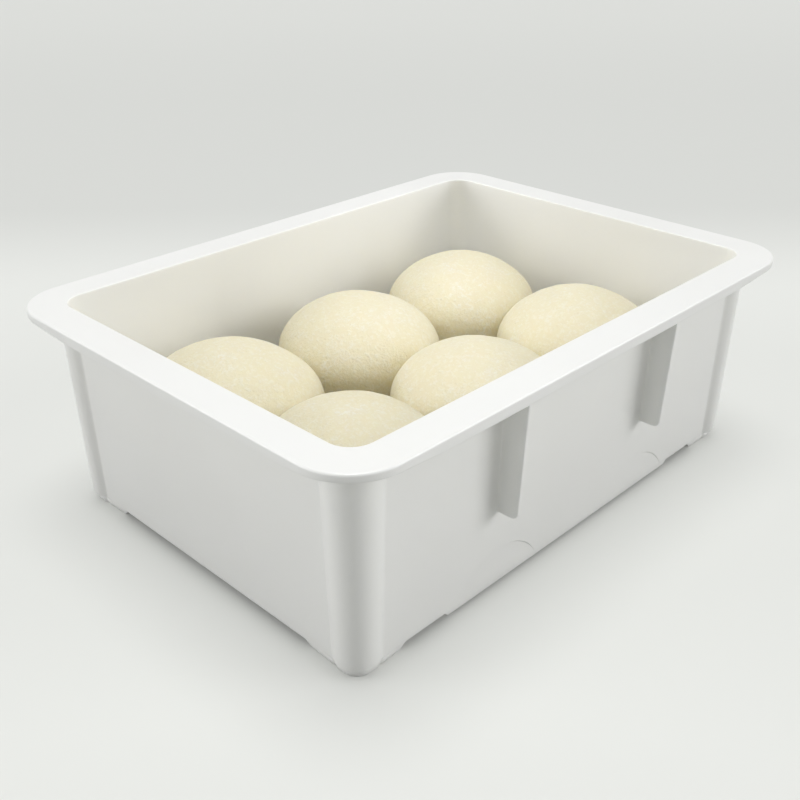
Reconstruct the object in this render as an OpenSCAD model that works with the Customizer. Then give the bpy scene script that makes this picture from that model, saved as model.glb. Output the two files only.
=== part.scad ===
// Dough proofing container: an open moulded plastic box on low corner feet,
// with a wide down-turned rim, four corner posts and two ribs on each long side.
// Six balls of proofed dough stand loose on its floor, three along and two across.
// Millimetres. The box stands on z = 0, its long side runs along X and the origin
// is under its middle. The front is the long side at -Y.

/* [Dough] */
// Width of a proofed ball of dough
ball_w = 108.6; // [80:0.2:130]
// Height of the widest part of a ball above the floor of the box
ball_side_h = 58.5; // [40:0.5:64]
// Height of a ball's dome above its widest part
ball_dome_h = 38.3; // [32:0.1:40]
// Radius of the rounded shoulder of a ball, where the dome turns into the side
ball_shoulder_r = 30; // [15:1:31]
// Radius of the rounded lower edge of a ball
ball_foot_r = 36; // [15:1:38]
// Gap between two balls that stand next to each other
ball_gap = 0.8; // [0.4:0.1:20]
// Room between the balls and the left wall, at the foot of the wall
room_left = 10.4; // [2:0.1:60]
// Room between the balls and the right wall, at the foot of the wall
room_right = 12.6; // [2:0.1:60]
// Room between the balls and the front wall, at the foot of the wall
room_front = 17.6; // [2:0.1:60]
// Room between the balls and the back wall, at the foot of the wall
room_back = 10.2; // [2:0.1:60]

/* [Box] */
// Height of the box from the ground to the top of the rim
box_h = 136; // [115:1:220]
// Thickness of the walls
wall_t = 2.2; // [1.6:0.1:4]
// Thickness of the floor
floor_t = 3; // [1.6:0.1:5]
// Lean of the walls, outwards and up
wall_draft = 1.3; // [0:0.1:4]
// Radius of the inside corners at the top
inner_r = 14; // [8:0.5:24]
// Radius between the floor and the walls, inside
floor_r = 6; // [2:0.5:9]
// Depth of the shallow round recess under each rib, at its top
recess_depth = 0.8; // [0.3:0.1:1.2]
// Radius of the recess
recess_r = 41; // [25:1:50]
// Height of the top of the recess above the ground
recess_top = 26; // [15:1:40]
// Height above the ground where the recess runs out into the wall
recess_low = 3.6; // [2.6:0.1:8]
// How far the middle of a recess lies from its rib, towards the middle of the box
recess_shift = 1.8; // [0:0.1:10]

/* [Rim] */
// Width of the flat rim all round, from the inside edge to the outside edge
rim_w = 22; // [14:0.5:32]
// Thickness of the rim
rim_t = 2.8; // [2:0.1:5]
// Height of the rim's outside edge, with the skirt that hangs from it
skirt_h = 6.8; // [4:0.1:16]
// Thickness of the skirt
skirt_t = 2.2; // [1.6:0.1:4]
// Radius of the rim's top outside edge
rim_edge_r = 1.2; // [1:0.1:2.6]
// Radius of the rim's top inside edge
lip_r = 1.2; // [0.4:0.1:1.6]

/* [Corner posts] */
// How far a post stands proud of the walls
post_proud = 3; // [1:0.1:6]
// How far the middle of a post lies outside the middle of the inside corner
post_shift = 3.5; // [1:0.1:5]

/* [Ribs] */
// Distance between the two ribs of a long side
rib_pitch = 140; // [90:1:180]
// Thickness of a rib
rib_t = 3; // [2:0.1:6]
// Height of the lower end of a rib above the ground
rib_foot_h = 53; // [35:1:90]
// Gap between the rib's outer edge and the skirt
rib_skirt_gap = 2.2; // [0.5:0.1:6]
// Lean of the rib's outer edge
rib_lean = 2.7; // [0:0.1:5]
// Radius of the rib's lower outside corner
rib_r = 4; // [1:0.5:6]

/* [Feet] */
// Height of the feet, which is also the height of the box's underside
foot_h = 4.8; // [4.2:0.1:12]
// Width of the feet and skids, measured inwards
foot_w = 12; // [6:0.5:25]
// How far the feet draw in towards the ground
foot_inset = 1.2; // [0.4:0.1:4]
// Radius of the inside corner of a foot
foot_inner_r = 4; // [2:0.5:10]
// Length of a foot along the long side, from the wall's corner
foot_long = 37; // [20:1:60]
// Length of a foot along the short side, from the wall's corner
foot_short = 41; // [20:1:60]
// Height of the gap under the skid between the feet of a long side
skid_gap = 2.4; // [1:0.1:4]
// Length of the notch between a foot and the skid
notch_len = 29; // [10:1:60]

/* [Hidden] */
$fn = 96;
PLASTIC = [0.94, 0.94, 0.92];
DOUGH = [0.93, 0.89, 0.78];
// Straight steps in the rounded edges of the hollow
arc_steps = 8;
// Overlap of solids that are joined, and overshoot of cuts
join = 0.5;
// Times its own size that the cut round the dome reaches past the ball
past = 3;

floor_z = foot_h + floor_t;
slope = tan(wall_draft);
ball_r = ball_w / 2;
ball_pitch = ball_w + ball_gap;

// Clear length and width of the box at its floor, set by the dough that it holds
floor_len = 3 * ball_w + 2 * ball_gap + room_left + room_right;
floor_wid = 2 * ball_w + ball_gap + room_front + room_back;

// Middles of the rounded corners: the inside corner, the wall and the rim share them
core_x = floor_len / 2 + slope * (box_h - floor_z) - inner_r;
core_y = floor_wid / 2 + slope * (box_h - floor_z) - inner_r;
rim_r = inner_r + rim_w;
post_x = core_x + post_shift;
post_y = core_y + post_shift;

// Corner radii at a height z: of the hollow, of the middle of the wall's thickness,
// of the wall's outside and of a post
function hollow_r(z) = inner_r - slope * (box_h - z);
function middle_r(z) = hollow_r(z) + wall_t / 2;
function outer_r(z) = hollow_r(z) + wall_t;
function post_r(z) = outer_r(z) + post_proud - post_shift;

rim_under = box_h - rim_t;
skirt_under = box_h - skirt_h;
base_r = outer_r(foot_h);

// Where the feet and the skids end, and a length past every side of the box
foot_end_x = core_x + base_r - foot_long;
foot_end_y = core_y + base_r - foot_short;
skid_end_x = foot_end_x - notch_len;
beyond = core_x + core_y + rim_r;

// The round edge along the floor has to stay inside the hollow's corners
least_corner_r = 1;
floor_edge_r = min(floor_r, hollow_r(floor_z) - least_corner_r);

// Places of the balls
ball_x_middle = (room_left - room_right) / 2;
ball_x = [ball_x_middle - ball_pitch, ball_x_middle, ball_x_middle + ball_pitch];
ball_y_middle = (room_front - room_back) / 2;
front_y = ball_y_middle - ball_pitch / 2;
back_y = ball_y_middle + ball_pitch / 2;

// The dome's radius, so that it runs smoothly into the shoulder, and its middle's height
ball_h = ball_side_h + ball_dome_h;
cap_reach = ball_r - ball_shoulder_r;
cap_r = (cap_reach * cap_reach + ball_dome_h * ball_dome_h - ball_shoulder_r * ball_shoulder_r)
    / (2 * (ball_dome_h - ball_shoulder_r));
cap_z = ball_h - cap_r;

// Plain building shapes

// Sweeps an outline round the rectangle with its corners at +-cx, +-cy. The
// outline's x is the distance outwards from that rectangle, its y is the height
module sweep_round(cx, cy) {
    corner_sweep(cx, cy, 0) children();
    corner_sweep(-cx, cy, 90) children();
    corner_sweep(-cx, -cy, 180) children();
    corner_sweep(cx, -cy, 270) children();
    side_sweep(cx, 2 * cy, 0) children();
    side_sweep(cy, 2 * cx, 90) children();
    side_sweep(cx, 2 * cy, 180) children();
    side_sweep(cy, 2 * cx, 270) children();
}

module corner_sweep(x, y, turn) {
    translate([x, y, 0])
        rotate([0, 0, turn])
            rotate_extrude(angle = 90) children();
}

module side_sweep(reach, length, turn) {
    rotate([0, 0, turn])
        translate([reach, length / 2, 0])
            rotate([90, 0, 0])
                linear_extrude(height = length) children();
}

// Points along an arc about [x, y], from one angle to the other
function arc_points(x, y, r, from, to) =
    [for (i = [0 : arc_steps]) let (a = from + (to - from) * i / arc_steps)
        [x + r * cos(a), y + r * sin(a)]];

// A block with rounded corners whose sides lean outwards: low_r and high_r are the
// corner radii at its lower and upper end
module leaning_block(cx, cy, low_r, high_r, low_z, high_z) {
    translate([-cx, -cy, low_z]) cube([2 * cx, 2 * cy, high_z - low_z]);
    sweep_round(cx, cy)
        polygon([[0, low_z], [low_r, low_z], [high_r, high_z], [0, high_z]]);
}

// The box

// Section of the hollow that holds the dough. Its outline runs outwards along the
// floor, round the edge, up the leaning wall and over the rounded lip of the rim
module hollow_section() {
    edge_z = floor_z + floor_edge_r;
    edge_x = hollow_r(edge_z) - floor_edge_r / cos(wall_draft);
    lip_z = box_h - lip_r;
    lip_x = hollow_r(lip_z) + lip_r / cos(wall_draft);
    polygon(concat(
        [[-join, floor_z]],
        arc_points(edge_x, edge_z, floor_edge_r, -90, -wall_draft),
        arc_points(lip_x, lip_z, lip_r, 180 - wall_draft, 90),
        [[lip_x, box_h + join], [-join, box_h + join]]
    ));
}

// Section of the rim: a flat top with a rounded outside edge and a skirt
module rim_section() {
    translate([0, rim_under]) square([rim_r - rim_edge_r, rim_t]);
    translate([rim_r - skirt_t, skirt_under]) square([skirt_t, skirt_h - rim_edge_r]);
    translate([rim_r - rim_edge_r, box_h - rim_edge_r])
        intersection() {
            circle(r = rim_edge_r);
            square(rim_edge_r);
        }
}

// Section of the whole box: floor, leaning wall and rim
module shell_section() {
    difference() {
        union() {
            polygon([
                [0, foot_h], [base_r, foot_h],
                [outer_r(box_h - join), box_h - join], [0, box_h - join]
            ]);
            rim_section();
        }
        hollow_section();
    }
}

module shell() {
    sweep_round(core_x, core_y) shell_section();
    translate([-core_x, -core_y, foot_h]) cube([2 * core_x, 2 * core_y, floor_t]);
}

// Corner posts, from the middle of the wall's thickness outwards
module corner_posts() {
    top_z = rim_under + join;
    difference() {
        for (sx = [-1, 1], sy = [-1, 1])
            translate([sx * post_x, sy * post_y, foot_h])
                cylinder(h = top_z - foot_h, r1 = post_r(foot_h), r2 = post_r(top_z));
        leaning_block(
            core_x, core_y, middle_r(foot_h - join), middle_r(box_h), foot_h - join, box_h
        );
    }
}

// Outline of a rib seen from the end of the box: x runs outwards from the middle
module rib_outline() {
    top = rim_under + join;
    outer_top = core_y + rim_r - skirt_t - rib_skirt_gap;
    outer_foot = outer_top - (top - rib_foot_h) * tan(rib_lean);
    polygon([
        [core_y + middle_r(rib_foot_h), rib_foot_h],
        [outer_foot - rib_r, rib_foot_h], [outer_foot, rib_foot_h + rib_r],
        [outer_top, top], [core_y + middle_r(top), top]
    ]);
    translate([outer_foot - rib_r, rib_foot_h + rib_r]) circle(r = rib_r);
}

module ribs() {
    for (side = [0, 180], place = [-1, 1])
        rotate([0, 0, side])
            translate([place * rib_pitch / 2 + rib_t / 2, 0, 0])
                rotate([90, 0, -90])
                    linear_extrude(height = rib_t) rib_outline();
}

// Distance from the middle of the box to a recess's flat face, at a height z
function recess_face(z) = core_y + outer_r(z)
    - recess_depth * (z - recess_low) / (recess_top - recess_low);

// What the round recesses take off the outside of the long walls
module recesses() {
    place_x = rib_pitch / 2 - recess_shift;
    for (side = [0, 180])
        rotate([0, 0, side])
            difference() {
                for (place = [-1, 1])
                    translate([place * place_x, -core_y, recess_top - recess_r])
                        rotate([90, 0, 0]) cylinder(h = rim_r, r = recess_r);
                rotate([90, 0, -90])
                    linear_extrude(height = 2 * core_x, center = true)
                        polygon([
                            [0, -recess_r], [recess_face(-recess_r), -recess_r],
                            [recess_face(box_h), box_h], [0, box_h]
                        ]);
            }
}

// The feet are cut from a low band under the walls. It draws in towards the ground,
// and its rounded corners share the middles of the posts
module base_band() {
    draw_in = base_r - foot_w - foot_inner_r;
    high_r = base_r - post_shift;
    difference() {
        leaning_block(post_x, post_y, high_r - foot_inset, high_r, 0, foot_h + join);
        leaning_block(
            core_x + draw_in, core_y + draw_in, foot_inner_r, foot_inner_r,
            -join, foot_h + 2 * join
        );
    }
}

// A block with ends that slope 45 degrees, wider at the top, along X
module sloped_block(x_from, x_to, width, low_z) {
    rise = foot_h - low_z;
    rotate([90, 0, 0])
        linear_extrude(height = width, center = true)
            polygon([
                [x_from + rise, low_z - join], [x_to - rise, low_z - join],
                [x_to - rise, low_z], [x_to, foot_h], [x_to, foot_h + 2 * join],
                [x_from, foot_h + 2 * join], [x_from, foot_h], [x_from + rise, low_z]
            ]);
}

// The corners of the band, cut off along each side by a sloped end
module feet() {
    intersection() {
        base_band();
        for (side = [0, 180])
            rotate([0, 0, side])
                sloped_block(foot_end_x, beyond, 2 * beyond, 0);
        for (side = [90, 270])
            rotate([0, 0, side])
                sloped_block(foot_end_y, beyond, 2 * beyond, 0);
    }
}

// The skid under each long wall, flush with it
module skids() {
    for (side = [0, 180])
        rotate([0, 0, side])
            intersection() {
                rotate([90, 0, -90])
                    linear_extrude(height = 2 * core_x, center = true)
                        polygon([
                            [core_y + base_r - foot_w, skid_gap],
                            [core_y + outer_r(skid_gap), skid_gap],
                            [core_y + base_r, foot_h], [core_y + base_r, foot_h + join],
                            [core_y + base_r - foot_w, foot_h + join]
                        ]);
                sloped_block(-skid_end_x, skid_end_x, 2 * beyond, skid_gap);
            }
}

module tub() {
    color(PLASTIC) {
        difference() {
            union() {
                shell();
                skids();
            }
            recesses();
        }
        corner_posts();
        ribs();
        feet();
    }
}

// The dough

// Half section of a ball: a dome, a rounded shoulder, a side and a rounded foot
module ball_section() {
    foot_x = ball_r - ball_foot_r;
    intersection() {
        translate([0, cap_z]) circle(r = cap_r);
        polygon([
            [0, cap_z], [past * cap_reach, cap_z + past * (ball_side_h - cap_z)],
            [past * cap_reach, past * ball_h], [0, past * ball_h]
        ]);
    }
    difference() {
        union() {
            translate([cap_reach, ball_side_h]) circle(r = ball_shoulder_r);
            translate([foot_x, ball_foot_r]) circle(r = ball_foot_r);
        }
        translate([-ball_w, 0]) square([ball_w, ball_h]);
    }
    translate([0, ball_foot_r]) square([ball_r, ball_side_h - ball_foot_r]);
    square([foot_x, ball_side_h]);
}

module dough_ball(x, y) {
    color(DOUGH)
        translate([x, y, floor_z])
            rotate_extrude() ball_section();
}

module dough_front_left() dough_ball(ball_x[0], front_y);
module dough_front_middle() dough_ball(ball_x[1], front_y);
module dough_front_right() dough_ball(ball_x[2], front_y);
module dough_back_left() dough_ball(ball_x[0], back_y);
module dough_back_middle() dough_ball(ball_x[1], back_y);
module dough_back_right() dough_ball(ball_x[2], back_y);

tub();
dough_front_left();
dough_front_middle();
dough_front_right();
dough_back_left();
dough_back_middle();
dough_back_right();
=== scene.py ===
"""Dough proofing container: moulded box, six balls of dough, stage and camera.

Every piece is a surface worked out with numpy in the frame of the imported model, in
metres, with +Z up. The box and the balls replace the plain solids of the frame.
"""

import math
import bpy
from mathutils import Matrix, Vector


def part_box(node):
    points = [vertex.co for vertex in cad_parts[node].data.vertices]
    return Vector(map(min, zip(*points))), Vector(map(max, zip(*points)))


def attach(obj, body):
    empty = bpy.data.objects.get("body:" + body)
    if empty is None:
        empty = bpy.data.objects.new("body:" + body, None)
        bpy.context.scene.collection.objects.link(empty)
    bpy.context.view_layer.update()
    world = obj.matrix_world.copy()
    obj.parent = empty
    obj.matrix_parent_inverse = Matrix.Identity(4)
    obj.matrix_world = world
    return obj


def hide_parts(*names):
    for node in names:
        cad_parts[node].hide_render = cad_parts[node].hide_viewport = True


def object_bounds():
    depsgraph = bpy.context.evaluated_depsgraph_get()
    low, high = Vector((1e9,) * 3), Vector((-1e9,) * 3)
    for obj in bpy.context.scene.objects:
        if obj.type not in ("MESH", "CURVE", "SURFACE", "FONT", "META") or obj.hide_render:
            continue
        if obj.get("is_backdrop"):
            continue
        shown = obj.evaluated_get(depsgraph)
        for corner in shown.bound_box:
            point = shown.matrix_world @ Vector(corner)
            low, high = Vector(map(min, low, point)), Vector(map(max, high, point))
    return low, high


bl_info = {
    "name": "Dough proofing container",
    "version": (1, 0, 0),
    "blender": (4, 5, 0),
    "location": "View3D > Sidebar > Dough box",
    "description": "Builds a moulded dough box with six proofed balls of dough in it",
    "category": "Add Mesh",
}

from typing import NamedTuple

import bpy
import numpy as np
from bpy.props import FloatProperty, FloatVectorProperty, PointerProperty
from mathutils import Quaternion, Vector

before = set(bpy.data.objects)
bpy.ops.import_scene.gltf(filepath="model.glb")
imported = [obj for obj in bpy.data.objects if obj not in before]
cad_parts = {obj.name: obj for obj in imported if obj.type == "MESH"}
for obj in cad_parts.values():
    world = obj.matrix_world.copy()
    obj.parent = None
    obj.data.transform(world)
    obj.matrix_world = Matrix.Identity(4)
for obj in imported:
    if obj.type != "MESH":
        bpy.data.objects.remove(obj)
CAD_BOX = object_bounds()

MM = 0.001
# The colour sockets of a Mix node, whose names are shared by its other kinds
COLOUR_A, COLOUR_B, COLOUR_OUT = 6, 7, 2


class Ball(NamedTuple):
    """Place and size of a ball of dough, in millimetres."""

    x: float
    y: float
    half_w: float
    top: float
    square: float  # power of its plan, 2 for a circle
    fill: float  # how far it sags into the gap between four balls
    seed: int  # gives each ball its own lumps


BALLS = {
    "dough_back_left": Ball(-111.0, 59.0, 54.6, 104.6, 2.10, 4.2, 4),
    "dough_back_middle": Ball(-1.0, 57.0, 54.2, 104.6, 2.02, 1.8, 21),
    "dough_back_right": Ball(109.8, 60.2, 53.2, 104.4, 2.28, 0.6, 37),
    "dough_front_left": Ball(-109.0, -50.4, 54.0, 104.4, 2.16, 0.8, 52),
    "dough_front_middle": Ball(-1.0, -51.2, 53.6, 104.2, 2.08, 0.2, 13),
    "dough_front_right": Ball(111.6, -47.4, 54.8, 104.9, 2.10, 1.5, 44),
}


def mm_property(name, text, default, low, high):
    """A length that the user changes, shown in metres and written here in mm."""
    return FloatProperty(
        name=name, description=text, default=default * MM, min=low * MM, max=high * MM,
        unit="LENGTH", precision=4,
    )


def colour_property(name, text, default):
    """A colour that the user changes."""
    return FloatVectorProperty(
        name=name, description=text, default=default, min=0.0, max=1.0,
        subtype="COLOR", size=3,
    )


class BoxSizes(bpy.types.PropertyGroup):
    """Sizes of the moulded box that the frame's outer box doesn't give."""

    inner_r: mm_property("Inside corner", "Radius of the inside corners at the rim", 14, 8, 24)
    rim_w: mm_property("Rim width", "Width of the flat rim", 22, 14, 32)
    rim_t: mm_property("Rim thickness", "Thickness of the rim", 2.8, 2, 5)
    skirt_h: mm_property("Skirt height", "Height of the rim's outside edge", 7.3, 4, 16)
    skirt_rise: mm_property("Skirt rise", "How far its lower edge rises at a corner", 2.7, 0, 4)
    skirt_t: mm_property("Skirt thickness", "Thickness of the skirt", 2.2, 1.6, 4)
    rim_edge_r: mm_property("Rim edge", "Radius of the rim's outside edge", 1.3, 1, 4)
    rim_shift: mm_property("Rim corner", "How far its middle lies outwards", 4, 0, 8)
    lip_r: mm_property("Lip", "Radius of the rim's inside edge", 0.7, 0.4, 2)
    wall_t: mm_property("Wall", "Thickness of the walls", 2.2, 1.6, 4)
    floor_t: mm_property("Floor", "Thickness of the floor", 3, 1.6, 5)
    floor_r: mm_property("Floor edge", "Radius between floor and walls, inside", 6, 2, 9)
    foot_h: mm_property("Foot height", "Height of the box's underside", 4.8, 4.2, 12)
    foot_w: mm_property("Foot width", "Width of the feet, inwards", 12, 6, 25)
    foot_lean: mm_property("Foot lean", "How far a foot draws in to the ground", 1.0, 0.4, 4)
    foot_flare: mm_property("Foot flare", "How far a foot stands out at the corner", 1.0, 0, 3)
    foot_long: mm_property("Foot length", "Length of a foot along the long side", 37, 20, 60)
    foot_short: mm_property("Foot depth", "Length of a foot along the short side", 41, 20, 60)
    notch: mm_property("Notch", "Length of the notch between foot and skid", 29, 10, 60)
    skid_drop: mm_property("Skid", "How far a skid reaches below the wall", 2.4, 1, 4)
    post_proud: mm_property("Post", "How far a post stands proud of the walls", 3, 1, 6)
    post_shift: mm_property("Post place", "How far a post's middle lies outwards", 3.5, 1, 5)
    post_fillet: mm_property("Post fillet", "Fillet between a post and a wall", 1.2, 0.5, 5)
    rib_pitch: mm_property("Rib pitch", "Distance between the ribs of a side", 140, 90, 180)
    rib_t: mm_property("Rib thickness", "Thickness of a rib", 3, 2, 6)
    rib_foot: mm_property("Rib foot", "Height of a rib's lower end", 53, 35, 90)
    rib_gap: mm_property("Rib gap", "Gap between a rib and the skirt", 2.2, 0.5, 6)
    rib_r: mm_property("Rib corner", "Radius of a rib's lower corner", 4, 1, 6)
    recess_r: mm_property("Recess", "Radius of the round recess under a rib", 41, 25, 50)
    recess_top: mm_property("Recess top", "Height of the recess's top", 26, 15, 40)
    recess_low: mm_property("Recess foot", "Height where it runs out", 3.6, 2.6, 8)
    recess_depth: mm_property("Recess depth", "Depth of the recess at its top", 0.95, 0.3, 1.2)
    recess_shift: mm_property("Recess place", "How far it lies inwards of its rib", 1.8, 0, 10)
    draft: FloatProperty(
        name="Draft", description="Lean of the walls", default=math.radians(1.3),
        min=0.0, max=math.radians(4.0), subtype="ANGLE",
    )
    rib_lean: FloatProperty(
        name="Rib lean", description="Lean of a rib's outer edge",
        default=math.radians(2.7), min=0.0, max=math.radians(5.0), subtype="ANGLE",
    )


class DoughLook(bpy.types.PropertyGroup):
    """Form and flour of the dough."""

    lumps: mm_property("Lumps", "Height of the broad lumps in the dough", 0.5, 0, 2)
    dimples: mm_property("Dimples", "Depth of the small dimples in the skin", 0.07, 0, 0.5)
    press: mm_property("Press", "How softly two balls press flat on each other", 2.5, 1, 12)
    swell: mm_property("Swell", "How far a ball swells towards its neighbours", 1.8, 0, 4)
    flour: FloatProperty(
        name="Flour", description="How much of the skin the dusting of flour covers",
        default=0.5, min=0.0, max=1.0,
    )


class Finish(bpy.types.PropertyGroup):
    """Colours of the plastic, the dough and the stage."""

    plastic: colour_property("Plastic", "Colour of the moulded plastic", (0.905, 0.905, 0.88))
    dough: colour_property("Dough", "Colour of the dough", (0.79, 0.71, 0.455))
    flour: colour_property("Flour", "Colour of the flour on it", (0.83, 0.81, 0.71))
    floor: colour_property("Floor", "Colour of the floor under the box", (0.79, 0.80, 0.77))


class Plug:
    """One output of a shader node, so that maths on it reads as an expression."""

    def __init__(self, tree, socket):
        self.tree = tree
        self.socket = socket

    def _math(self, operation, *values, clamp=False):
        return self.tree.node(
            "ShaderNodeMath", {"operation": operation, "use_clamp": clamp}, *values
        )

    def __add__(self, other):
        return self._math("ADD", self, other)

    __radd__ = __add__

    def __sub__(self, other):
        return self._math("SUBTRACT", self, other)

    def __rsub__(self, other):
        return self._math("SUBTRACT", other, self)

    def __mul__(self, other):
        return self._math("MULTIPLY", self, other)

    __rmul__ = __mul__

    def __truediv__(self, other):
        return self._math("DIVIDE", self, other)

    def __pow__(self, other):
        return self._math("POWER", self, other)

    def size(self):
        return self._math("ABSOLUTE", self)

    def at_least(self, other):
        return self._math("MAXIMUM", self, other)

    def clamped(self):
        return self._math("ADD", self, 0.0, clamp=True)

    def ramp(self, low, high):
        """0 below low, 1 above high, with a smooth run between."""
        return self.tree.node(
            "ShaderNodeMapRange", {"interpolation_type": "SMOOTHSTEP"}, self, low, high
        )


class Material:
    """A material's node tree, with one method that adds any node."""

    def __init__(self, name, **constants):
        self.material = bpy.data.materials.new(name)
        self.material.use_nodes = True
        self.nodes = self.material.node_tree.nodes
        self.links = self.material.node_tree.links
        self.shader = self.nodes["Principled BSDF"]
        for socket, value in constants.items():
            self.shader.inputs[socket.replace("_", " ")].default_value = value

    def node(self, kind, settings=None, *values, output=0, **named):
        """Adds a node, sets what it is set to, then fills its sockets in order or by name."""
        made = self.nodes.new(kind)
        for key, value in (settings or {}).items():
            if key == "stops":
                self._set_stops(made.color_ramp, value)
            else:
                setattr(made, key, value)
        pairs = list(enumerate(values)) + [(k.replace("_", " "), v) for k, v in named.items()]
        for key, value in pairs:
            self.feed(made.inputs[key], value)
        return Plug(self, made.outputs[output])

    @staticmethod
    def _set_stops(ramp, stops):
        while len(ramp.elements) < len(stops):
            ramp.elements.new(1.0)
        for element, (place, colour) in zip(ramp.elements, stops):
            element.position = place
            element.color = (*colour, 1.0)

    def feed(self, socket, value):
        if isinstance(value, Plug):
            self.links.new(value.socket, socket)
        elif value is not None:
            socket.default_value = value

    def set(self, socket, value):
        self.feed(self.shader.inputs[socket], value)

    def place(self):
        """The point on the object, in metres."""
        return self.node("ShaderNodeTexCoord", None, output="Object")

    def noise(self, where, scale, detail=2.0, rough=0.5, distortion=0.0):
        """Noise whose cells are about 1/scale metres wide."""
        return self.node(
            "ShaderNodeTexNoise", None, Vector=where, Scale=scale, Detail=detail,
            Roughness=rough, Distortion=distortion,
        )

    def mix(self, share, a, b):
        """Colour a where share is 0, colour b where it is 1."""
        made = self.nodes.new("ShaderNodeMix")
        made.data_type = "RGBA"
        self.feed(made.inputs["Factor"], share)
        self.feed(made.inputs[COLOUR_A], a)
        self.feed(made.inputs[COLOUR_B], b)
        return Plug(self, made.outputs[COLOUR_OUT])

    def bump(self, height, distance, strength=1.0, normal=None):
        return self.node(
            "ShaderNodeBump", None, Height=height, Distance=distance, Strength=strength,
            Normal=normal,
        )


def rgba(colour):
    return (*colour, 1.0)


def plastic_material(colour):
    """Satin white polypropylene: a faint ripple, finer orange peel and a few dull rubs."""
    look = Material(
        "gloss_plastic", IOR=1.5, Coat_Roughness=0.12, Subsurface_Weight=0.35,
        Subsurface_Scale=0.004, Subsurface_Radius=(1.0, 1.0, 0.95),
    )
    where = look.place()
    ripple = look.noise(where, 22.0, 1.0)
    peel = look.noise(where, 520.0, 2.0, 0.55)
    rubs = look.noise(
        look.node("ShaderNodeMapping", None, Vector=where, Scale=(1.0, 1.0, 3.2)),
        26.0, 6.0, 0.66, 0.6,
    ).ramp(0.52, 0.78)
    tone = look.noise(where, 9.0, 2.0).ramp(0.3, 0.7)
    dust = look.noise(where, 1400.0, 1.0).ramp(0.70, 0.78)
    shade = look.mix(
        tone, rgba([c * 0.985 for c in colour]), rgba([min(1.0, c * 1.008) for c in colour])
    )
    look.set("Base Color", look.mix(dust * 0.05, shade, rgba((0.78, 0.77, 0.73))))
    look.set("Roughness", 0.27 + rubs * 0.10 + peel * 0.05)
    height = ripple * 0.6 + peel * 0.035
    look.set("Normal", look.bump(height, 0.0006, 0.35))
    look.shader.inputs["Coat Weight"].default_value = 0.15
    return look.material


def dough_material(colour, flour, cover):
    """Proofed dough: a soft skin with tiny pores that painted shade darkens, and a dusting of flour in
    fine grains that gather in patches. The skin takes more of the flour's colour where it faces up."""
    look = Material(
        "floury_dough", IOR=1.42, Subsurface_Weight=0.3, Subsurface_Scale=0.008,
        Subsurface_Radius=(1.0, 0.82, 0.42),
    )
    where = look.place()
    broad = look.noise(where, 24.0, 3.0, 0.55, 0.4)
    patches = look.noise(where, 46.0, 4.0, 0.62, 0.6)
    grains = look.noise(where, 760.0, 2.0, 0.6)
    crumbs = look.noise(where, 330.0, 3.0, 0.65)
    pores = look.node(
        "ShaderNodeTexVoronoi", {"feature": "F1"}, Vector=where, Scale=210.0
    )
    # the pores: a dip in the bump, and painted shade that darkens them in the colour
    pore_dip_and_shade = 1.0 - pores.ramp(0.05, 0.28)
    up = look.node("ShaderNodeSeparateXYZ", None, look.node(
        "ShaderNodeNewGeometry", None, output="Normal"
    ), output="Z")
    # mixes more of the flour's colour in where the skin faces up, so the top is lighter
    facing_up = 0.35 + 0.65 * up.ramp(-0.1, 0.75)
    dusty = patches.ramp(0.62 - 0.3 * cover, 0.92 - 0.3 * cover)
    speckle = (crumbs * 0.6 + grains * 0.4).ramp(0.47, 0.62)
    floury = (dusty * (0.25 + 0.75 * speckle)).clamped()
    warm = look.mix(
        broad.ramp(0.35, 0.68), rgba(colour),
        rgba((colour[0] * 0.985, colour[1] * 0.97, colour[2] * 0.93)),
    )
    lighter_on_top = look.mix(facing_up * 0.36, warm, rgba(flour))
    dusted = look.mix(floury * 0.85, lighter_on_top, rgba(flour))
    spotted = look.mix(speckle * 0.42, dusted, rgba([min(1.0, c * 1.05) for c in flour]))
    # painted shade: the pores are darkened towards a deeper brown
    look.set("Base Color", look.mix(pore_dip_and_shade * 0.07, spotted, rgba((0.72, 0.60, 0.40))))
    look.set("Roughness", 0.58 + floury * 0.24 - 0.05 * broad)
    skin = look.bump(patches * 0.55 + crumbs * 0.7 - pore_dip_and_shade * 0.3, 0.0011, 0.6)
    look.set("Normal", look.bump(grains, 0.0007, 0.6, normal=skin))
    return look.material


def ease(x):
    """0 below 0, 1 above 1, with a smooth run between."""
    x = np.clip(x, 0.0, 1.0)
    return x * x * (3.0 - 2.0 * x)


def smooth_max(a, b, k):
    """The larger of two lengths, rounded over a difference of k where they cross."""
    h = np.clip(k - np.abs(a - b), 0.0, None)
    return np.maximum(a, b) + h * h / (4.0 * k)


def new_object(name, vertices, faces, material):
    """A smooth mesh object at the origin. faces is a list of arrays of 3 or 4 columns."""
    mesh = bpy.data.meshes.new(name)
    counts = np.concatenate([np.full(len(f), f.shape[1]) for f in faces])
    corners = np.concatenate([f.ravel() for f in faces]).astype(np.int32)
    mesh.vertices.add(len(vertices))
    mesh.vertices.foreach_set("co", np.ascontiguousarray(vertices, np.float32).ravel())
    mesh.loops.add(len(corners))
    mesh.loops.foreach_set("vertex_index", corners)
    mesh.polygons.add(len(counts))
    starts = np.concatenate([[0], np.cumsum(counts)[:-1]]).astype(np.int32)
    mesh.polygons.foreach_set("loop_start", starts)
    mesh.polygons.foreach_set("use_smooth", np.ones(len(counts), bool))
    mesh.update(calc_edges=True)
    mesh.validate()
    mesh.materials.append(material)
    made = bpy.data.objects.new(name, mesh)
    bpy.context.scene.collection.objects.link(made)
    return made


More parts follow.
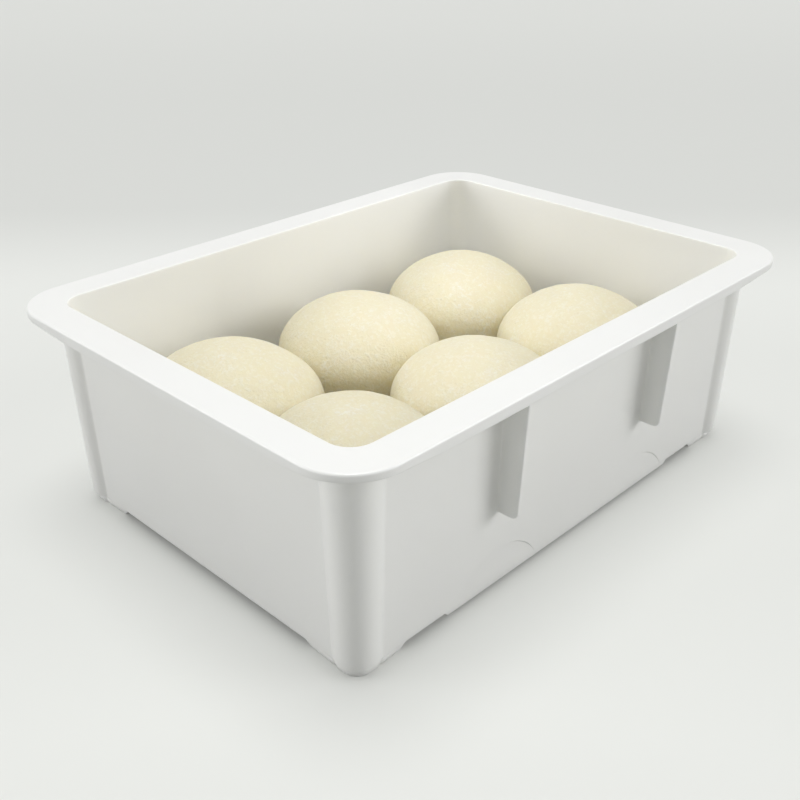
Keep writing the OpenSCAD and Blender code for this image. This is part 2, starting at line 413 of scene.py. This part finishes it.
def closed_grid(rows, first, last):
    """Vertices and faces of a closed surface: rows is (rows, stations, 3), each row a
    ring that closes on itself, and first and last are the two poles' points."""
    n_rows, n, _ = rows.shape
    points = np.concatenate([rows.reshape(-1, 3), [first], [last]])
    r, s = np.meshgrid(np.arange(n_rows - 1), np.arange(n), indexing="ij")
    t = (s + 1) % n
    quads = np.stack([r * n + s, r * n + t, (r + 1) * n + t, (r + 1) * n + s], -1)
    ring = np.arange(n)
    after = (ring + 1) % n
    pole = n_rows * n
    head = np.stack([np.full(n, pole), after, ring], -1)
    base = (n_rows - 1) * n
    tail = np.stack([np.full(n, pole + 1), base + ring, base + after], -1)
    return points, [quads.reshape(-1, 4), head, tail]


def outwards(points, faces):
    """Turns every face over if the closed surface holds a negative volume."""
    total = 0.0
    for f in faces:
        corner = points[f]
        for k in range(1, f.shape[1] - 1):
            total += np.einsum(
                "ij,ij->i", corner[:, 0], np.cross(corner[:, k], corner[:, k + 1])
            ).sum()
    return faces if total > 0 else [f[:, ::-1] for f in faces]


class Perimeter:
    """Stations round the rectangle of the corner middles, once round from the front.

    Each station has a base point on that rectangle and a direction outwards, so a
    point of a section at the distance d and the height z is base + d * outward. Along
    a side the marks are distances from its middle; round a corner the direction turns
    and the base stays.
    """

    def __init__(self, core, marks, corner_steps):
        turns = np.linspace(0.0, math.pi / 2, corner_steps + 1)[1:-1]
        base, normal, along, corner, long_side = [], [], [], [], []
        for side in range(4):
            half, reach = (core[0], core[1]) if side % 2 == 0 else (core[1], core[0])
            facing = -math.pi / 2 + side * math.pi / 2
            n = np.array([math.cos(facing), math.sin(facing)])
            t = np.array([-n[1], n[0]])
            m = np.array(marks[side % 2])
            a = np.concatenate([-m[::-1], m[1:] if m[0] == 0 else m])
            base.append(a[:, None] * t + reach * n)
            normal.append(np.repeat(n[None], len(a), 0))
            base.append(np.repeat((half * t + reach * n)[None], len(turns), 0))
            normal.append(np.cos(turns)[:, None] * n + np.sin(turns)[:, None] * t)
            along.append(np.concatenate([a, np.full(len(turns), half)]))
            corner.append(np.concatenate([np.zeros(len(a)), turns]))
            long_side.append(np.full(len(a) + len(turns), side % 2 == 0))
        self.base = np.concatenate(base)
        self.normal = np.concatenate(normal)
        self.along = np.concatenate(along)
        self.corner = np.concatenate(corner)
        self.long_side = np.concatenate(long_side)
        self.half = np.where(self.long_side, core[0], core[1])
        self.count = len(self.base)

    def ring(self, d, z):
        """The points of one ring at the distance d and the height z of each station."""
        flat = self.base + np.broadcast_to(d, self.count)[:, None] * self.normal
        return np.column_stack([flat, np.broadcast_to(z, self.count)])


class BoxForm:
    """The moulded box as one closed surface: a section carried round the perimeter.

    The section runs over the floor, up the inside, over the lip and the rim, round the
    skirt, down the outside and under the box. Posts are the smooth maximum of the wall
    and a cone about each corner. Ribs are stations that reach out by a depth that
    depends on the height. The rows bend round the recesses, and the feet and skids
    lower the rows of the underside.
    """

    def __init__(self, sizes):
        self.s = {k: getattr(sizes, k) / MM for k in sizes.__annotations__}
        self.slope = math.tan(sizes.draft)
        self.rib_slope = math.tan(sizes.rib_lean)
        low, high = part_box("tub")
        s = self.s
        self.top = (high.z - low.z) / MM
        self.rim_r = s["inner_r"] + s["rim_w"]
        self.core = ((high.x - low.x) / 2 / MM - self.rim_r, (high.y - low.y) / 2 / MM - self.rim_r)
        self.floor_z = s["foot_h"] + s["floor_t"]
        self.base_r = self.wall(s["foot_h"])
        self.foot_end = (
            self.core[0] + self.base_r - s["foot_long"],
            self.core[1] + self.base_r - s["foot_short"],
        )
        self.skid_end = self.foot_end[0] - s["notch"]
        self.recess_x = s["rib_pitch"] / 2 - s["recess_shift"]
        self.recess_z = s["recess_top"] - s["recess_r"]
        self.rib_offsets, self.rib_profile = self.rib_section()
        self.path = Perimeter(self.core, self.marks(), 18)
        self.rib_share()

    def hollow(self, z):
        return self.s["inner_r"] - self.slope * (self.top - z)

    def wall(self, z):
        return self.hollow(z) + self.s["wall_t"]

    def rib_section(self):
        """Half a rib seen from above: distance from its middle against height above the
        wall, as a concave fillet, a drafted side and a round outer edge. The second
        part is (fixed height, depth taken off the rib's reach, True on the outer part)."""
        half, fillet, edge, thin = self.s["rib_t"] / 2, 1.3, 0.8, 0.12
        a = np.linspace(0.0, math.pi / 2, 6)
        foot_e, foot_y = half + fillet - fillet * np.sin(a), fillet * (1 - np.cos(a))
        b = np.linspace(0.0, math.pi / 2, 6)
        tip_e, tip_y = half - thin - edge + edge * np.cos(b), edge * (1 - np.sin(b))
        offsets = np.concatenate([[half + fillet + 2.0, half + fillet + 0.5], foot_e, tip_e, [0.0]])
        fixed = np.concatenate([[0.0, 0.0], foot_y, np.zeros(7)])
        taken = np.concatenate([np.zeros(8), tip_y, [0.0]])
        outer = np.concatenate([np.zeros(8, bool), np.ones(7, bool)])
        self.rib_least = fillet + edge
        return offsets, (fixed, taken, outer)

    def marks(self):
        """Where the stations stand along half a long side and half a short side."""
        s, (long_half, short_half) = self.s, self.core
        rib = s["rib_pitch"] / 2
        reach = math.sqrt(s["recess_r"] ** 2 - (s["recess_r"] - s["recess_top"] + s["foot_h"]) ** 2)
        recess = self.recess_x
        edge = np.array([-2.4, -1.2, -0.4, 0.2, 0.8, 1.5, 2.5, 3.8, 5.4, 7.4, 10, 13, 16, 19, 22, 25])
        edge = edge[edge < reach - 6.0]
        post = np.array([13, 11, 10, 9.2, 8.5, 7.8, 7.1, 6.4, 5.7, 5.0, 4.2, 3.2, 1.8, 0.0])
        kink = np.array([-1.6, -0.4, 0.1, 0.6])
        rib_marks = np.concatenate([rib - self.rib_offsets, rib + self.rib_offsets[:-1]])
        drop, rise = s["skid_drop"], s["foot_h"]
        long_marks = np.concatenate([
            [0.0, 12.0, 24.0], recess - reach + edge, rib_marks, recess + reach - edge,
            self.skid_end - drop + kink, self.skid_end - kink,
            np.linspace(self.skid_end + 5, self.foot_end[0] - 5, 4),
            self.foot_end[0] + kink, [self.foot_end[0] + rise / 2],
            self.foot_end[0] + rise - kink, long_half - post,
        ])
        short_marks = np.concatenate([
            np.linspace(0.0, self.foot_end[1] - 4, 6), self.foot_end[1] + kink,
            [self.foot_end[1] + rise / 2], self.foot_end[1] + rise - kink, short_half - post,
        ])
        return [np.unique(np.round(m[m <= h], 5)) for m, h in
                ((long_marks, long_half), (short_marks, short_half))]

    def rib_share(self):
        """Which stations belong to a rib, and their place in its section."""
        p = self.path
        offset = np.abs(np.abs(p.along) - self.s["rib_pitch"] / 2)
        on = p.long_side & (p.corner == 0) & (offset <= self.rib_offsets[0] + 1e-4)
        order = np.argsort(self.rib_offsets)
        fixed, taken, outer = self.rib_profile
        place = np.abs(self.rib_offsets[None, order] - offset[:, None]).argmin(1)
        pick = order[place]
        self.on_rib = on
        self.rib_fixed = np.where(on, fixed[pick], 0.0)
        self.rib_taken = np.where(on, taken[pick], 0.0)
        self.rib_outer = on & outer[pick]

    def rib_out(self, depth):
        """How far each station stands off the wall where the rib reaches out by depth."""
        full = np.maximum(depth, self.rib_least)
        reach = np.where(self.rib_outer, full - self.rib_taken, self.rib_fixed)
        return np.where(self.on_rib, reach * depth / full, 0.0)

    def rib_depth(self, z):
        """Reach of a rib's outer edge off the wall at the height z."""
        s = self.s
        top = self.top - s["rim_t"]
        outer = self.rim_r - s["skirt_t"] - s["rib_gap"] - (top - z) * self.rib_slope
        return outer - self.wall(z)

    def post(self, z):
        """Distance of a post's round face from the perimeter's base, at each station: the
        way along the station's direction to a circle whose middle is shifted outwards."""
        s, p = self.s, self.path
        r = self.wall(z) + s["post_proud"] - s["post_shift"]
        c = s["post_shift"]
        beside = p.half - np.abs(p.along)
        inside = r * r - (beside + c) ** 2
        straight = c + np.sign(inside) * np.sqrt(np.abs(inside))
        turned = c * (np.cos(p.corner) + np.sin(p.corner)) + np.sqrt(
            np.maximum(r * r - c * c * (np.cos(p.corner) - np.sin(p.corner)) ** 2, 0.0)
        )
        return np.where(p.corner > 0, turned, straight)

    def recess(self, z):
        """Depth of the round recess at each station: it grows with the height, with a
        smooth step across the recess's circle."""
        s, p, step = self.s, self.path, 0.45
        away = np.hypot(np.abs(p.along) - self.recess_x, z - self.recess_z)
        grown = (z - s["recess_low"]) / (s["recess_top"] - s["recess_low"])
        depth = s["recess_depth"] * np.clip(grown, 0.0, 1.0)
        depth = depth * ease((s["recess_r"] - away) / step + 0.5)
        return np.where(p.long_side & (p.corner == 0), depth, 0.0)

    def outside(self, z):
        """Distance of the outside at each station: wall, posts and recesses."""
        wall = self.wall(z) + np.zeros(self.path.count)
        return smooth_max(wall - self.recess(z), self.post(z), self.s["post_fillet"])

    def recess_row(self, radius, lowest):
        """Height of a row that follows a circle about the recess's middle, or lowest."""
        p = self.path
        x = np.abs(p.along) - self.recess_x
        arc = self.recess_z + np.sqrt(np.maximum(radius * radius - x * x, 0.0))
        arc = np.where(p.long_side & (p.corner == 0), arc, lowest)
        return np.maximum(arc, lowest)

    def rows(self):
        s, p = self.s, self.path
        ring = p.ring
        out = []

        def arc(d, z, r, start, end, steps):
            for a in np.radians(np.linspace(start, end, steps + 1)):
                out.append(ring(d + r * math.cos(a), z + r * math.sin(a)))

        lean = math.degrees(math.atan(self.slope))
        # inside: floor, round edge, wall and lip
        inner = ring(2.0, self.floor_z)
        for share in (0.3, 0.62, 0.86):
            out.append(inner * [share, share, 1.0])
        out.append(inner)
        edge_z = self.floor_z + s["floor_r"]
        edge_d = self.hollow(edge_z) - s["floor_r"] / math.cos(math.atan(self.slope))
        out.append(ring(edge_d - 0.8, self.floor_z))
        arc(edge_d, edge_z, s["floor_r"], -90, -lean, 9)
        for z in (edge_z + 1.2, 40.0, 72.0, 104.0, self.top - s["lip_r"] - 2.0,
                  self.top - s["lip_r"] - 0.5):
            out.append(ring(self.hollow(z), z))
        lip_z = self.top - s["lip_r"]
        arc(self.hollow(lip_z) + s["lip_r"], lip_z, s["lip_r"], 180 - lean, 90, 7)
        lip_d = self.hollow(lip_z) + s["lip_r"]
        rim_d = self.rim_r - s["rim_edge_r"]
        for d in (lip_d + 0.5, lip_d + 2.0):
            out.append(ring(d, self.top))
        # the rim's outside and the skirt, whose corners have middles of their own
        def skirt_ring(d, z):
            out.append(ring(self.shifted_reach(d, s["rim_shift"]), z))

        def skirt_arc(d, z, r, start, end, steps):
            for a in np.radians(np.linspace(start, end, steps + 1)):
                skirt_ring(d + r * math.cos(a), z + r * math.sin(a))

        skirt_ring(rim_d - 2.0, self.top)
        skirt_ring(rim_d - 0.4, self.top)
        skirt_arc(rim_d, self.top - s["rim_edge_r"], s["rim_edge_r"], 90, 0, 8)
        from_corner = np.abs(p.corner - math.pi / 4) * self.rim_r + p.half - np.abs(p.along)
        rise = s["skirt_rise"] * (1.0 - ease(from_corner / 70.0))
        low_edge, skirt_z = 0.6, self.top - s["skirt_h"] + rise
        skirt_ring(self.rim_r, self.top - s["rim_edge_r"] - 0.4)
        skirt_ring(self.rim_r, skirt_z + low_edge + 0.4)
        skirt_arc(self.rim_r - low_edge, skirt_z + low_edge, low_edge, 0, -90, 5)
        skirt_d = self.rim_r - s["skirt_t"]
        skirt_arc(skirt_d + low_edge, skirt_z + low_edge, low_edge, -90, -180, 5)
        under_z, under_r = self.top - s["rim_t"], 0.9
        skirt_ring(skirt_d, under_z - under_r - 0.2)
        skirt_arc(skirt_d - under_r, under_z - under_r, under_r, 0, 90, 4)
        # fillet between the rim's underside and the outside
        at_top = self.outside(under_z) + self.rib_out(self.rib_depth(under_z))
        turn_in = np.where(self.on_rib, 0.7, 1.5)
        out.append(ring(np.minimum(at_top + turn_in + 0.3, skirt_d - under_r - 0.1), under_z))
        for a in np.radians(np.linspace(90, 180, 6)):
            out.append(ring(at_top + turn_in * (1 + math.cos(a)), under_z - turn_in * (1 - math.sin(a))))
        # outside, down to the ribs' lower ends
        tip_z = s["rib_foot"] + s["rib_r"]
        for z in (under_z - 2.2, 116.0, 96.0, 76.0, tip_z + 4.0, tip_z + 0.7):
            out.append(ring(self.outside(z) + self.rib_out(self.rib_depth(z)), z))
        self.rib_end_rows(out, tip_z)
        # rows that follow the recesses, and the wall's lower edge
        outer_edge = np.where(p.corner > 0, 1.0, ease((self.post(20.0) - self.wall(20.0) + 0.6) / 1.6))
        edge_r = 0.45 + 1.55 * outer_edge
        skid = np.clip(self.skid_end - np.abs(p.along), 0.0, s["skid_drop"])
        skid = np.where(p.long_side & (p.corner == 0), skid, 0.0)
        under = s["foot_h"] - skid
        for z in (44.0, 33.0):
            out.append(ring(self.outside(z), z))
        radii = s["recess_r"] + np.array([3, 1, 0.4, 0.25, 0.1, -0.1, -0.25, -0.4, -1, -4, -9, -14])
        for k, radius in enumerate(radii):
            least = under + edge_r + 0.10 + 0.16 * (len(radii) - k)
            z = self.recess_row(radius, least)
            out.append(ring(self.outside(z), z))
        edge_z = under + edge_r
        edge_d = self.outside(edge_z)
        for a in np.radians(np.linspace(0, 90, 6)):
            out.append(ring(edge_d - edge_r * (1 - math.cos(a)), edge_z - edge_r * math.sin(a)))
        self.underside_rows(out, edge_d - edge_r, under)
        return np.array(out) * MM

    def rib_end_rows(self, out, tip_z):
        """Rows round a rib's lower end: its round corner, its flat end and the fillet
        into the wall. Away from the ribs the same rows run evenly down the wall."""
        s = self.s
        depth = self.rib_depth(tip_z)
        a = np.linspace(0.0, math.pi / 2, 8)
        tip = [(tip_z - s["rib_r"] * math.sin(v), depth - s["rib_r"] * (1 - math.cos(v))) for v in a]
        fillet = 1.4
        flat = [(s["rib_foot"], depth - s["rib_r"] - 0.5), (s["rib_foot"], depth * 0.4),
                (s["rib_foot"], fillet + 0.5)]
        b = np.linspace(0.0, math.pi / 2, 6)
        into = [(s["rib_foot"] - fillet * (1 - math.cos(v)), fillet * (1 - math.sin(v))) for v in b]
        steps = tip + flat + into
        plain = np.linspace(tip_z + 0.2, s["rib_foot"] - fillet - 0.4, len(steps))
        for (z, d), plain_z in zip(steps, plain):
            height = self.rib_out(d) / max(d, 1e-6)
            share = np.where(self.on_rib, ease(height * 3.0), 0.0)
            where = np.where(self.on_rib, z * share + plain_z * (1 - share), plain_z)
            out.append(self.path.ring(self.outside(where) + self.rib_out(d), where))

    def shifted_reach(self, d, c):
        """Distance of an outside at each station: d along the sides, with its corners
        rounded about middles that lie further out by c both ways."""
        p = self.path
        r = d - c
        cos, sin = np.cos(p.corner), np.sin(p.corner)
        arc = c * (cos + sin) + np.sqrt(np.maximum(r * r - (c * (cos - sin)) ** 2, 0.0))
        flat = d / np.maximum(cos, sin)
        beside_arc = np.minimum(cos, sin) / np.maximum(cos, sin) * d < c
        return np.where(beside_arc, flat, arc)

    def underside_rows(self, out, edge_d, under):
        """Rows of the feet and the underside. A foot leans in to the ground from just
        inside the wall's lower edge, and its inner side rises to the floor again."""
        s, p = self.s, self.path
        end = np.where(p.long_side, self.foot_end[0], self.foot_end[1])
        drop = np.where(p.corner > 0, s["foot_h"], np.clip(np.abs(p.along) - end, 0.0, s["foot_h"]))
        share = drop / s["foot_h"]
        ground = under - drop
        flare = np.where(p.corner > 0, 1.0, np.clip((np.abs(p.along) - end) / (p.half - end), 0.0, 1.0))
        flush = self.shifted_reach(self.base_r - 0.1, s["post_shift"])
        seam = np.minimum(edge_d - 0.05, flush)
        start = seam + s["foot_flare"] * flare
        lower = start - 0.1 - s["foot_lean"] * share
        round_r = 0.8 * share + 0.05
        inner = self.base_r - s["foot_w"] + np.zeros(p.count)
        rows = [
            (seam, under), ((seam + start) / 2, under - 0.14 * drop),
            (start, under - 0.34 * drop),
            (lower, ground + round_r * 1.4), (lower, ground + round_r),
            (lower - round_r * 0.13, ground + round_r * 0.5),
            (lower - round_r * 0.5, ground + round_r * 0.13),
            (lower - round_r, ground), (lower - round_r * 1.6, ground),
            (inner + 0.7, ground), (inner + 0.2, ground + 0.1 * share),
            (inner, ground + 0.5 * share), (inner, s["foot_h"] - 0.01 - 0.3 * share),
            (inner - 0.1, s["foot_h"]), (inner - 0.6, s["foot_h"]),
        ]
        for d, z in rows:
            out.append(p.ring(d, z))
        last = p.ring(inner - 0.6, s["foot_h"])
        for share_in in (0.8, 0.5, 0.25):
            out.append(last * [share_in, share_in, 1.0])


def dough_surface(name, look):
    """One ball: an upper half ellipse and a lower half superellipse turned about an upright
    axis and cut flat on the floor. Its plan is a superellipse that sags into the gap
    between four balls, and it has broad lumps, small dimples and a soft flat wherever a
    neighbour presses on it."""
    ball = BALLS[name]
    low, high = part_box(name)
    floor_z = low.z / MM
    waist = floor_z + 58.5
    around = np.linspace(0.0, 2 * math.pi, 193)[:-1]
    down = np.linspace(0.0, math.pi, 131)[1:-1]
    v, u = np.meshgrid(down, around, indexing="ij")
    upper = v < math.pi / 2
    lower_power = 2.0 / 2.45
    sin_v, cos_v = np.sin(v), np.cos(v)
    reach = ball.half_w + plan_swell(name, u, look.swell / MM) * sin_v ** 1.5
    r = reach * np.where(upper, sin_v, sin_v ** lower_power)
    h = np.where(
        upper, (ball.top - waist) * np.abs(cos_v),
        -(waist - floor_z) * 1.05 * np.abs(cos_v) ** lower_power,
    )
    points = np.stack([r * np.cos(u), r * np.sin(u), h], -1)
    points = lumpy(points, ball.seed, look)
    points = pressed(points, name, look.press / MM)
    points[..., 0] += ball.x
    points[..., 1] += ball.y
    points[..., 2] = np.clip(points[..., 2] + waist, floor_z, high.z / MM + 0.6)
    return points * MM, points[0].mean(0) * MM, points[-1].mean(0) * MM


def plan_swell(name, u, swell):
    """How far a ball's plan reaches past a circle, in the direction u: a superellipse,
    with a swelling towards each neighbour and a longer one into each gap."""
    ball = BALLS[name]
    power = ball.square
    square = (np.abs(np.cos(u)) ** power + np.abs(np.sin(u)) ** power) ** (-1.0 / power)
    total = ball.half_w * (square - 1.0)
    for other_name, other in BALLS.items():
        dx, dy = other.x - ball.x, other.y - ball.y
        if other_name == name or math.hypot(dx, dy) > 175.0:
            continue
        diagonal = abs(dx) > 30.0 and abs(dy) > 30.0
        lobe = np.clip(np.cos(u - math.atan2(dy, dx)), 0.0, None) ** 6
        total = total + (ball.fill if diagonal else swell) * lobe
    return total


def lumpy(points, seed, look):
    """Moves points in or out from the ball's middle by a sum of sine waves whose
    directions follow from the ball's own seed."""
    away = np.linalg.norm(points, axis=-1, keepdims=True)
    unit = points / away
    rng = np.random.default_rng(seed)

    def waves(count, lowest, highest):
        k = rng.normal(size=(count, 3))
        k *= (rng.uniform(lowest, highest, count) / np.linalg.norm(k, axis=1))[:, None]
        phase = rng.uniform(0.0, 2 * math.pi, count)
        return np.sin(unit @ k.T + phase).sum(-1) / math.sqrt(count)

    broad = waves(9, 2.4, 2.8) + 0.42 * waves(14, 5.0, 7.0) + 0.16 * waves(22, 11.0, 15.0)
    change = look.lumps / MM * (broad - 0.6) + look.dimples / MM * waves(30, 24.0, 44.0)
    return points + unit * change[..., None]


def pressed(points, name, soft):
    """Holds a ball back at the plane midway to each neighbour: past soft before the
    plane, the distance runs to it like a hyperbolic tangent."""
    ball, gap = BALLS[name], 0.1
    for other_name, other in BALLS.items():
        apart = np.array([other.x - ball.x, other.y - ball.y])
        distance = np.linalg.norm(apart)
        if other_name == name or distance > 130.0:
            continue
        way = apart / distance
        start = distance * ball.half_w / (ball.half_w + other.half_w) - gap - soft
        reach = points[..., 0] * way[0] + points[..., 1] * way[1]
        held = np.where(reach > start, start + soft * np.tanh((reach - start) / soft), reach)
        points[..., 0] += (held - reach) * way[0]
        points[..., 1] += (held - reach) * way[1]
    return points


class DOUGHBOX_OT_tub(bpy.types.Operator):
    """Builds the moulded box with its rim, posts, ribs, recesses, skids and feet"""

    bl_idname = "doughbox.tub"
    bl_label = "Moulded box"

    def execute(self, context):
        form = BoxForm(context.scene.box_sizes)
        rows = form.rows()
        first = np.array([0.0, 0.0, form.floor_z * MM])
        last = np.array([0.0, 0.0, form.s["foot_h"] * MM])
        points, faces = closed_grid(rows, first, last)
        faces = outwards(points, faces)
        material = plastic_material(context.scene.finish.plastic)
        box = new_object("moulded_box", points, faces, material)
        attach(box, "tub")
        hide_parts("tub")
        return {"FINISHED"}


class DOUGHBOX_OT_dough(bpy.types.Operator):
    """Builds the six balls of proofed dough"""

    bl_idname = "doughbox.dough"
    bl_label = "Balls of dough"

    def execute(self, context):
        look, finish = context.scene.dough_look, context.scene.finish
        material = dough_material(finish.dough, finish.flour, look.flour)
        for name in BALLS:
            points, faces = closed_grid(*dough_surface(name, look))
            ball = new_object(name + "_skin", points, outwards(points, faces), material)
            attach(ball, name)
            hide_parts(name)
        return {"FINISHED"}


class DOUGHBOX_OT_stage(bpy.types.Operator):
    """Builds the pale floor and backdrop, the soft lights and the camera"""

    bl_idname = "doughbox.stage"
    bl_label = "Stage"

    def execute(self, context):
        build_floor(context.scene.finish.floor)
        build_lights()
        build_camera()
        return {"FINISHED"}


def build_floor(colour):
    """A flat round floor of rings."""
    rings = np.concatenate([np.linspace(0.2, 3.4, 18), np.linspace(4.0, 14.0, 16)])
    around = np.linspace(0.0, 2 * math.pi, 129)[:-1]
    r, a = np.meshgrid(rings, around, indexing="ij")
    points = np.stack([r * np.cos(a), r * np.sin(a), 0.0 * r], -1)
    n = len(around)
    rr, ss = np.meshgrid(np.arange(len(rings) - 1), np.arange(n), indexing="ij")
    tt = (ss + 1) % n
    quads = np.stack([rr * n + ss, (rr + 1) * n + ss, (rr + 1) * n + tt, rr * n + tt], -1)
    ring = np.arange(n)
    points = np.concatenate([points.reshape(-1, 3), [[0.0, 0.0, 0.0]]])
    fan = np.stack([np.full(n, len(points) - 1), ring, (ring + 1) % n], -1)
    floor = new_object(
        "pale_floor", points, [quads.reshape(-1, 4), fan], floor_material(colour)
    )
    floor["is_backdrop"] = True


def floor_material(colour):
    """A pale table with painted shade that darkens it a little behind and before the box. The camera and
    reflections see it partly lit by itself away from the box, which keeps the wide shadow faint, and
    it throws less light back at the box than it shows."""
    look = Material("pale_floor", Roughness=0.7, IOR=1.2, Emission_Strength=1.0)
    where = look.place()
    x = look.node("ShaderNodeSeparateXYZ", None, where, output="X")
    y = look.node("ShaderNodeSeparateXYZ", None, where, output="Y")
    grain = look.noise(where, 900.0, 2.0)
    behind = x * 0.71 + y * 0.70
    # painted shade: the floor is darkened far behind the box
    painted_far_shade = behind.ramp(0.28, 0.60) * (1.0 - 0.3 * behind.ramp(0.9, 2.4))
    beside = x.size() - 0.165
    before = y.size() - 0.112
    near = (beside.at_least(0.0) ** 2.0 + before.at_least(0.0) ** 2.0) ** 0.5
    glow_share = near.ramp(0.003, 0.027)
    # painted shade: the floor is darkened a little before the box, towards the camera
    front = 1.0 - behind.ramp(-0.42, -0.16)
    shade = (painted_far_shade + front * 0.22 + grain * 0.05).clamped()
    tone = look.mix(shade, rgba(colour), rgba([c * 0.845 for c in colour]))
    lit = look.mix(glow_share, tone, rgba((0.0, 0.0, 0.0)))
    part = look.mix(0.45, tone, lit)
    glow = look.mix(0.45, rgba((0.0, 0.0, 0.0)), look.mix(glow_share, rgba((0.0, 0.0, 0.0)), tone))
    camera_ray = look.node("ShaderNodeLightPath", None, output="Is Camera Ray")
    glossy_ray = look.node("ShaderNodeLightPath", None, output="Is Glossy Ray")
    seen = (camera_ray + glossy_ray).clamped()
    look.set("Base Color", look.mix(seen, rgba([c * 0.48 for c in colour]), part))
    look.set("Emission Color", look.mix(seen, rgba((0.0, 0.0, 0.0)), glow))
    return look.material


def sun_lamp(name, towards, spread, strength):
    """A far soft lamp that shines from the direction towards, spread in degrees."""
    data = bpy.data.lights.new(name, "SUN")
    data.energy = strength
    data.angle = math.radians(spread)
    lamp = bpy.data.objects.new(name, data)
    bpy.context.scene.collection.objects.link(lamp)
    lamp.location = Vector(towards).normalized() * 2.0
    lamp.rotation_mode = "QUATERNION"
    lamp.rotation_quaternion = (-Vector(towards)).to_track_quat("-Z", "Y")


def soft_box(name, place, aim, size, spread, power):
    """A near square lamp whose grid holds its light within spread degrees."""
    data = bpy.data.lights.new(name, "AREA")
    data.size = size
    data.energy = power
    data.spread = math.radians(spread)
    lamp = bpy.data.objects.new(name, data)
    bpy.context.scene.collection.objects.link(lamp)
    lamp.location = place
    lamp.visible_camera = False
    lamp.rotation_mode = "QUATERNION"
    lamp.rotation_quaternion = (Vector(aim) - Vector(place)).to_track_quat("-Z", "Y")


def build_lights():
    """A soft box and a wide soft lamp overhead, a low lamp on each side of the camera
    and a dim sky."""
    soft_box("over_the_box", (-0.01, -0.01, 0.80), (0.0, 0.0, 0.1), 0.50, 180.0, 0.33)
    soft_box("into_the_box", (-0.50, -0.46, 0.52), (0.15, 0.12, 0.06), 0.08, 18.0, 0.019)
    sun_lamp("overhead", (0.05, 0.05, 1.0), 35.0, 1.49)
    sun_lamp("left_side", (-1.0, 0.9, 0.38), 36.0, 1.19)
    sun_lamp("right_side", (0.9, -1.0, 0.38), 36.0, 1.28)
    world = bpy.data.worlds.new("pale_sky")
    world.use_nodes = True
    background = world.node_tree.nodes["Background"]
    background.inputs["Color"].default_value = (0.96, 0.97, 0.97, 1.0)
    background.inputs["Strength"].default_value = 0.38
    bpy.context.scene.world = world


CAMERA_PLACE = (-0.441193, -0.414944, 0.371523)
CAMERA_AZIMUTH = -45.558
CAMERA_ELEVATION = 28.162
CAMERA_ROLL = -0.241
CAMERA_LENS = 46.407


def build_camera():
    """The camera at the photograph's place and angle."""
    data = bpy.data.cameras.new("photo_view")
    data.sensor_width = 36.0
    data.lens = CAMERA_LENS
    data.clip_start, data.clip_end = 0.01, 60.0
    camera = bpy.data.objects.new("photo_view", data)
    bpy.context.scene.collection.objects.link(camera)
    a, e = math.radians(CAMERA_AZIMUTH), math.radians(CAMERA_ELEVATION)
    back = Vector((math.sin(a) * math.cos(e), -math.cos(a) * math.cos(e), math.sin(e)))
    level = (-back).to_track_quat("-Z", "Y")
    camera.rotation_mode = "QUATERNION"
    camera.location = CAMERA_PLACE
    camera.rotation_quaternion = level @ Quaternion((0, 0, 1), math.radians(CAMERA_ROLL))
    bpy.context.scene.camera = camera


class DOUGHBOX_PT_panel(bpy.types.Panel):
    """Lists the pieces and the sizes of the dough box"""

    bl_label = "Dough box"
    bl_idname = "DOUGHBOX_PT_panel"
    bl_space_type = "VIEW_3D"
    bl_region_type = "UI"
    bl_category = "Dough box"

    def draw(self, context):
        scene = context.scene
        for operator in (DOUGHBOX_OT_tub, DOUGHBOX_OT_dough, DOUGHBOX_OT_stage):
            self.layout.operator(operator.bl_idname)
        for group in (scene.box_sizes, scene.dough_look, scene.finish):
            column = self.layout.column(align=True)
            for key in group.__annotations__:
                column.prop(group, key)


CLASSES = (
    BoxSizes, DoughLook, Finish,
    DOUGHBOX_OT_tub, DOUGHBOX_OT_dough, DOUGHBOX_OT_stage, DOUGHBOX_PT_panel,
)


def register():
    for cls in CLASSES:
        bpy.utils.register_class(cls)
    bpy.types.Scene.box_sizes = PointerProperty(type=BoxSizes)
    bpy.types.Scene.dough_look = PointerProperty(type=DoughLook)
    bpy.types.Scene.finish = PointerProperty(type=Finish)


def unregister():
    del bpy.types.Scene.finish, bpy.types.Scene.dough_look, bpy.types.Scene.box_sizes
    for cls in reversed(CLASSES):
        bpy.utils.unregister_class(cls)


def write_sizes():
    """Gathers the frame's box and the finished model's box side by side."""
    boxes = {"cad": CAD_BOX, "visual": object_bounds()}
    plain = {k: [list(low), list(high)] for k, (low, high) in boxes.items()}


def main():
    register()
    bpy.context.scene.view_settings.view_transform = "Standard"
    bpy.ops.doughbox.tub()
    bpy.ops.doughbox.dough()
    bpy.ops.doughbox.stage()
    write_sizes()


if __name__ == "__main__":
    main()
